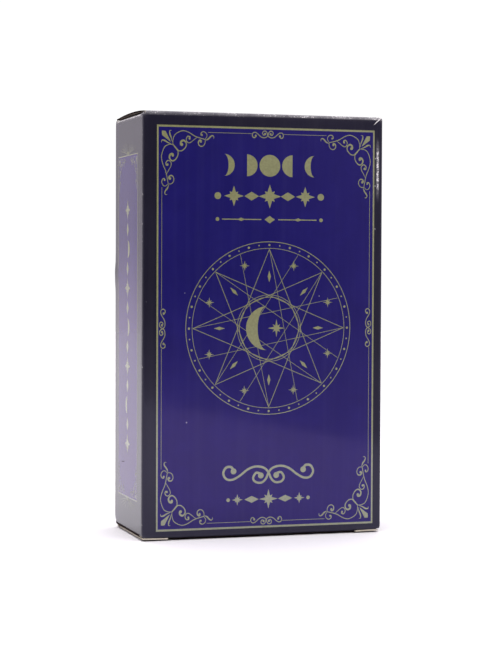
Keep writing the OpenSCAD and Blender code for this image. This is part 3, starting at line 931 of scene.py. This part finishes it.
def corner_scroll():
    """Corner ornament, drawn in millimetres along one edge and in from it. One arm is drawn, and the other
    is its mirror image across the diagonal, where a stem and a leaf with a square outer corner lie."""
    arm = [
        stroke([(4.75, 4.70), (4.85, 3.40), (5.55, 2.20), (7.60, 1.37), (9.40, 1.68), (11.60, 2.70),
                (14.45, 3.38)], [0.16, 0.22, 0.24, 0.24, 0.24, 0.28, 0.22]),
        stroke([(6.35, 6.30), (7.40, 6.25), (8.30, 5.65), (8.75, 4.90), (8.60, 4.15), (7.90, 3.72),
                (7.20, 4.05), (7.10, 4.70), (7.50, 4.95)],
               [0.26, 0.30, 0.33, 0.36, 0.42, 0.54, 0.60, 0.56, 0.36]),
        stroke([(12.00, 2.90), (11.05, 3.50), (10.15, 4.10), (9.40, 4.27), (8.85, 3.85), (8.75, 3.25),
                (9.20, 2.70), (9.82, 2.82), (9.85, 3.30)],
               [0.14, 0.20, 0.22, 0.24, 0.26, 0.28, 0.32, 0.38, 0.34]),
        stroke([(14.45, 3.37), (14.40, 4.25), (13.90, 4.88), (13.10, 5.06), (12.45, 4.60), (12.45, 3.90),
                (12.95, 3.55), (13.35, 3.85)], [0.18, 0.22, 0.25, 0.27, 0.32, 0.42, 0.48, 0.36]),
        stroke([(14.45, 3.30), (14.95, 2.60), (14.80, 1.90), (14.05, 1.45), (13.30, 1.70), (13.20, 2.25),
                (13.65, 2.45)], [0.18, 0.20, 0.23, 0.25, 0.29, 0.34, 0.30]),
        stroke([(14.60, 3.55), (15.40, 3.20), (16.05, 2.62), (16.65, 2.36), (17.05, 2.66), (17.00, 3.10)],
               [0.14, 0.46, 0.42, 0.30, 0.20, 0.10]),
        stroke([(4.32, 1.32), (3.78, 1.50), (3.86, 2.30), (4.30, 3.20), (4.62, 4.25)],
               [0.10, 0.28, 0.48, 0.34, 0.14]),
        moon((7.42, 4.72), 0.36), moon((9.72, 3.20), 0.28), moon((13.12, 3.92), 0.30),
        moon((13.52, 2.28), 0.22),
    ]
    leaf = np.array([(1.46, 1.50), (2.00, 1.46), (2.56, 1.52), (2.98, 2.25), (3.55, 3.12), (4.12, 4.08)])
    diagonal = [
        stroke([(4.70, 4.70), (5.55, 5.50), (6.40, 6.34)], [0.30, 0.42, 0.48]),
        (leaf, leaf[:, ::-1], False),
    ]
    return arm + placed(arm, (0, 0), (1, 1), turned=True) + diagonal


def edge_scroll():
    """Ornament at the middle of an edge: an S-scroll that crosses the middle, and its mirror image."""
    line = [(3.72, 2.20), (3.99, 2.56), (4.53, 2.50), (4.80, 1.93), (4.48, 1.36), (3.82, 1.28), (3.06, 1.66),
            (2.19, 2.30), (1.33, 2.56), (0.46, 2.38), (0.0, 1.90), (-0.30, 1.26), (-0.76, 0.90),
            (-1.38, 0.98), (-1.64, 1.40), (-1.34, 1.90), (-0.90, 1.84)]
    half = [stroke(line, [0.30, 0.28, 0.26, 0.26, 0.26, 0.26, 0.26, 0.28], 110),
            moon((3.72, 2.12), 0.30), moon((-0.82, 1.62), 0.30)]
    return half + placed(half, (0, 0), (-1, 1))


def frame_lines(left, right, low, top, width, width_up):
    """Four strips round a rectangle, each cut slantwise at its ends so that they meet at the corners. The
    level ones are as thick as width_up."""
    outer = np.array([(left, low), (right, low), (right, top), (left, top)], float)
    inner = outer + np.array([(1, 1), (-1, 1), (-1, -1), (1, -1)]) * (width, width_up)
    share = np.linspace(0, 1, 50)[:, None]
    return [(outer[i] + share * (outer[j] - outer[i]), inner[i] + share * (inner[j] - inner[i]), False)
            for i, j in ((0, 1), (1, 2), (2, 3), (3, 0))]


def bordered(left, right, low, top):
    """Frame of a wide wall: the bold line, a thin line inside it that stops at the ornaments, a scroll in
    each corner and one at the middle of each edge. The ornaments are stretched upwards."""
    middle_x, middle_z = (left + right) / 2, (low + top) / 2
    strips = frame_lines(left, right, low, top, FRAME_LINE, FRAME_LINE_UP)
    corner, edge = corner_scroll(), edge_scroll()
    for sx, x in ((1, left), (-1, right)):
        for sz, z in ((1, low), (-1, top)):
            strips += placed(corner, (x, z), (sx, sz * STRETCH))
            line_x, line_z = x + sx * INNER_INSET, z + sz * INNER_RISE
            strips.append(straight((x + sx * SCROLL_END, line_z), (middle_x - sx * ORNAMENT_END, line_z),
                                   INNER_LINE))
            strips.append(straight((line_x, z + sz * STRETCH * SCROLL_END),
                                   (line_x, middle_z - sz * STRETCH * ORNAMENT_END), INNER_LINE))
        strips += placed(edge, (x, middle_z), (sx, STRETCH), turned=True)
    for sz, z in ((1, low), (-1, top)):
        strips += placed(edge, (middle_x, z), (1, sz * STRETCH))
    return strips


def emblem(x, z, radius):
    """Round emblem of thin lines: two rings with dots between them, an eight-pointed star of chords with
    thinner chords from between its points, small stars in its outer gaps, and a crescent with a star in a
    double ring at the middle."""
    centre = np.array((x, z))

    def at(share, degrees):
        """Point at a share of the radius and an angle."""
        return centre + radius * share * np.array([np.cos(np.radians(degrees)), np.sin(np.radians(degrees))])

    strips = [ring(centre, share * radius, width)
              for share, width in ((1.0, 0.20), (0.925, 0.16), (0.385, 0.16), (0.36, 0.20))]
    strips += [moon(at(0.9625, 7.5 * k), 0.22 if k % 2 else 0.34) for k in range(48)]
    for k in range(16):
        skip, width = (7, 0.13) if k % 2 else (6, 0.18)
        strips.append(straight(at(0.915, 90 + 22.5 * k), at(0.915, 90 + 22.5 * (k + skip)), width))
    for k in range(8):
        strips += star(at(0.78, 112.5 + 45 * k), 1.55, 0.34)
        strips.append(lozenge(at(0.60, 90 + 45 * k), 3.4, 1.0, 90 + 45 * k))
    strips.append(moon(centre - (0.6, 0), 0.255 * radius, 0.45, -1))
    return strips + star(at(0.09, 0), 2.7, 0.36)


def moon_row(x, z, radius, pitch):
    """Row of five moons, from a crescent to full and back."""
    shapes = ((-2, 0.42, 1), (-1, 0.0, 1), (0, -1.0, 1), (1, 0.0, -1), (2, 0.42, -1))
    return [moon((x + place * pitch, z), radius, inner, side) for place, inner, side in shapes]


def star_row(x, z):
    """Row of three stars with diamonds between them and a dot at each end."""
    strips = star((x, z), 3.5, 0.62)
    for side in (-1, 1):
        strips += star((x + side * 11.0, z), 3.0, 0.62)
        strips += [lozenge((x + side * 5.6, z), 4.4, 2.6), moon((x + side * 15.9, z), 1.0)]
    return strips


def rule(x, z, half):
    """Thin rule with a diamond at its middle, a slim one on each half and a dot at each end."""
    strips = [lozenge((x, z), 3.2, 2.2)]
    for side in (-1, 1):
        strips += [straight((x + side * 2.6, z), (x + side * (half - 1.4), z), 0.3),
                   moon((x + side * half, z), 0.55), lozenge((x + side * half * 0.55, z), 2.4, 1.0)]
    return strips


def scroll_divider(x, z, scale):
    """The edge ornament enlarged, with a row of stars, diamonds and dots below."""
    low = z - DIVIDER_RISE
    strips = placed(edge_scroll(), (x, z + DIVIDER_RISE - SCROLL_MIDDLE * scale), (scale, scale))
    strips += star((x, low), 2.9, 0.5)
    for side in (-1, 1):
        strips += [lozenge((x + side * 5.2, low), 4.4, 2.0), moon((x + side * 12.4, low), 0.55)]
        strips += star((x + side * 9.6, low), 1.7, 0.5)
    return strips


def fan(y, z, side):
    """Half fan of nine thin leaves that open from a point on the frame line, with tips on an ellipse."""
    strips = []
    for turn in np.radians(12 + 19.5 * np.arange(9)):
        tip_y, tip_z = 9.6 * np.cos(turn), side * (1.2 + 2.6 * np.sin(turn))
        line = [(y, z), (y + 0.5 * tip_y, z + 0.58 * tip_z), (y + tip_y, z + tip_z)]
        strips.append(stroke(line, [0.06, 0.15, 0.05], 14))
    return strips + [moon((y, z + side * 0.5), 0.5)]


def side_art():
    """Print of a narrow wall: a framed field with small corner scrolls, a fan above and below, and a column
    of stars, diamonds and moons."""
    low, high = SIDE_FRAME_Y - SIDE_FRAME_HALF, SIDE_FRAME_Y + SIDE_FRAME_HALF
    strips = frame_lines(low, high, SIDE_FRAME_LOW, SIDE_FRAME_TOP, SIDE_LINE, SIDE_LINE)
    corner = corner_scroll()
    for sy, y in ((1, low), (-1, high)):
        for sz, z in ((1, SIDE_FRAME_LOW), (-1, SIDE_FRAME_TOP)):
            strips += placed(corner, (y, z), (sy * SIDE_SCROLL, sz * SIDE_SCROLL * STRETCH))
    strips += fan(SIDE_FRAME_Y, SIDE_FRAME_TOP, 1) + fan(SIDE_FRAME_Y, SIDE_FRAME_LOW, -1)
    for k, z in enumerate(np.linspace(COLUMN_LOW, COLUMN_TOP, COLUMN_COUNT)):
        place = (SIDE_FRAME_Y, z)
        if k % 4 == 0:
            strips += star(place, 3.1, 0.62)
        elif k % 4 == 2:
            strips.append(moon(place, 2.6, 0.2, 1 if k < COLUMN_COUNT // 2 else -1))
        else:
            strips.append(lozenge(place, 4.2, 2.6, 90))
    return strips


def inlay(strips, place):
    """Each strip as a thin closed slab that sits in the wall's surface and stands a hair proud of it.
    Strips that cross differ a little in height."""
    bands = []
    for k, (left, right, closed) in enumerate(strips):
        lift = INK_LIFT + INK_STEP * (k % INK_LEVELS)
        corners = ((left, -INK_SINK), (left, lift), (right, lift), (right, -INK_SINK))
        bands.append(band(np.stack([place(rail, level) for rail, level in corners], 1), ring=closed))
    return bands


def on_front(rail, lift):
    """Points of the front wall's swollen and bumped face, lifted out of it."""
    return bumped(np.stack([rail[:, 0], -HALF_D - wide_swell(*rail.T) - lift, rail[:, 1]], 1))


def on_back(rail, lift):
    """Points of the back wall's swollen face, as seen from behind, lifted out of it."""
    return np.stack([-rail[:, 0], HALF_D + wide_swell(-rail[:, 0], rail[:, 1]) + lift, rail[:, 1]], 1)


def on_left(rail, lift):
    """Points of the left wall's swollen face, lifted out of it."""
    return np.stack([-HALF_W - side_swell(*rail.T) - lift, rail[:, 0], rail[:, 1]], 1)


def on_right(rail, lift):
    """Points of the right wall's swollen face, lifted out of it."""
    return np.stack([HALF_W + side_swell(*rail.T) + lift, rail[:, 0], rail[:, 1]], 1)


front_art = bordered(FRAME_LEFT, FRAME_RIGHT, FRAME_LOW, FRAME_TOP) + emblem(EMBLEM_X, EMBLEM_Z, EMBLEM_R)
front_art += moon_row(ROW_X, MOON_ROW_Z, MOON_R, MOON_PITCH) + star_row(ROW_X, STAR_ROW_Z)
front_art += rule(ROW_X, RULE_Z, RULE_HALF) + scroll_divider(ROW_X, DIVIDER_Z, DIVIDER_SCALE)
back_art = bordered(-FRAME_RIGHT, -FRAME_LEFT, FRAME_LOW, FRAME_TOP)
back_art += emblem(-wide_field_x.mean(), EMBLEM_Z, EMBLEM_R * BACK_EMBLEM)

# The coating's crack across the top right corner of the front, and a dent low on the left wall, whose dark
# hollow is painted shade
crack = stroke([(36.35, 124.25), (35.6, 123.5), (34.9, 122.9), (34.2, 122.2)], [0.44, 0.34, 0.26, 0.08], 24)
# Painted shade: a thin dark strip where the dent's hollow falls into shadow
dent_shade = stroke([(8.2, 20.85), (6.3, 21.0), (4.0, 21.2)], [0.06, 0.25, 0.08], 20)

for name, strips, place, finish in (
        ("front_gold_print", front_art, on_front, gold), ("back_gold_print", back_art, on_back, gold),
        ("left_gold_print", side_art(), on_left, gold), ("right_gold_print", side_art(), on_right, gold),
        ("corner_crack", [crack], on_front, torn_board), ("side_dent_shade", [dent_shade], on_left, painted_shade_edge)):
    add_piece(name, inlay(strips, place), [finish], "carton", smooth=False)

# Cards keep their solids

for name, card in frame["nodes"].items():
    if name.endswith(("_card", "_cards")):
        card.data.materials.clear()
        card.data.materials.append(card_material)

# Floor, in metres: its front edge is cut back on the right

FLOOR_FRONT, FLOOR_BACK, FLOOR_SIDE, FLOOR_Z = -0.8, 1.7, 2.0, -0.00004
FLOOR_CUT = ((0.054, FLOOR_FRONT), (0.139, -0.30), (0.140, -0.2), (FLOOR_SIDE, -0.2))
floor_outline = [(-FLOOR_SIDE, FLOOR_FRONT), *FLOOR_CUT, (FLOOR_SIDE, FLOOR_BACK), (-FLOOR_SIDE, FLOOR_BACK)]
floor_mesh = bpy.data.meshes.new("floor")
floor_mesh.from_pydata([(x, y, FLOOR_Z) for x, y in floor_outline], [], [tuple(range(len(floor_outline)))])
floor_mesh.materials.append(dress(new_material("floor_paper")[0], FLOOR_WHITE, 0.85))
floor = bpy.data.objects.new("floor", floor_mesh)
bpy.context.scene.collection.objects.link(floor)

# Light: ramps as two heights of a direction and the values there, and a dark opening with a soft edge

ROOM_WHITE, OPENING_DARK, BACKDROP = (1, 0.93, 1.01, 1), (0.03, 0.03, 0.035, 1), (1, 1, 1, 1)
BACKDROP_STRENGTH = 1.05
ROOM_STRENGTH = (-0.05, 0.026, 1.22, 0.72)
OPENING_DEPTH = (-0.085, -0.015, 0.5, 1.0)
OPENING = tuple(Vector((-0.251, -0.937, -0.242)).normalized())
OPENING_EDGE = np.cos(np.radians((46, 34))).tolist()
LIT_POINT = Vector((0, 0, 0.06))


def studio_world():
    """White all round and brighter towards the floor, with a dark opening on the camera's side, and plain
    white behind the object."""
    world = bpy.data.worlds.new("studio")
    bpy.context.scene.world = world
    world.use_nodes = True
    tree = world.node_tree
    tree.nodes.clear()
    direction = node(tree, "VectorMath", {0: node(tree, "TexCoord", out="Generated")}, operation="NORMALIZE")
    towards = node(tree, "VectorMath", {0: direction, 1: OPENING}, out="Value", operation="DOT_PRODUCT")
    rise = direction.split()[2]
    dark = towards.ramp(*OPENING_EDGE) * rise.ramp(*OPENING_DEPTH)
    room = {"Color": dark.mix(ROOM_WHITE, OPENING_DARK), "Strength": rise.ramp(*ROOM_STRENGTH)}
    backdrop = {"Color": BACKDROP, "Strength": BACKDROP_STRENGTH}
    seen = node(tree, "LightPath", out="Is Camera Ray")
    shown = {0: seen, 1: node(tree, "Background", room), 2: node(tree, "Background", backdrop)}
    node(tree, "OutputWorld", {"Surface": node(tree, "MixShader", shown)}, out=())


def softbox(name, place, size, power):
    """Square area light that faces the object."""
    data = bpy.data.lights.new(name, "AREA")
    data.size, data.energy = size, power
    lamp = bpy.data.objects.new(name, data)
    lamp.location = place
    lamp.rotation_euler = (LIT_POINT - Vector(place)).to_track_quat("-Z", "Y").to_euler()
    bpy.context.scene.collection.objects.link(lamp)


studio_world()
softbox("overhead_softbox", place=(0.1, 0.9, 2.4), size=3.2, power=52.0)
softbox("front_softbox", place=(-0.1, -1.0, 2.2), size=1.6, power=28.0)
bpy.context.scene.view_settings.view_transform = "Standard"

# Camera: a 102 mm lens on a 36 mm frame, turned, tipped and rolled as in the photograph
LENS, SENSOR = 102.0, 36.0
YAW, PITCH, ROLL = np.radians((-17.424, 1.662, -0.233))
TARGET, DISTANCE = np.array((0.905, 0.0, 62.62)), 555.0
forward = np.array((-np.sin(YAW) * np.cos(PITCH), np.cos(YAW) * np.cos(PITCH), -np.sin(PITCH)))
level = np.array((np.cos(YAW), np.sin(YAW), 0.0))
down = np.cross(forward, level)
right = np.cos(ROLL) * level + np.sin(ROLL) * down
up = -(np.cos(ROLL) * down - np.sin(ROLL) * level)
camera_data = bpy.data.cameras.new("camera")
camera_data.lens, camera_data.sensor_width, camera_data.sensor_fit = LENS, SENSOR, "AUTO"
camera_data.clip_start, camera_data.clip_end = 0.01, 20.0
camera = bpy.data.objects.new("camera", camera_data)
turn = Matrix(np.stack([right, up, -forward], 1).tolist()).to_4x4()
camera.matrix_world = Matrix.Translation(Vector((TARGET - forward * DISTANCE) * MM)) @ turn
bpy.context.scene.collection.objects.link(camera)
bpy.context.scene.camera = camera
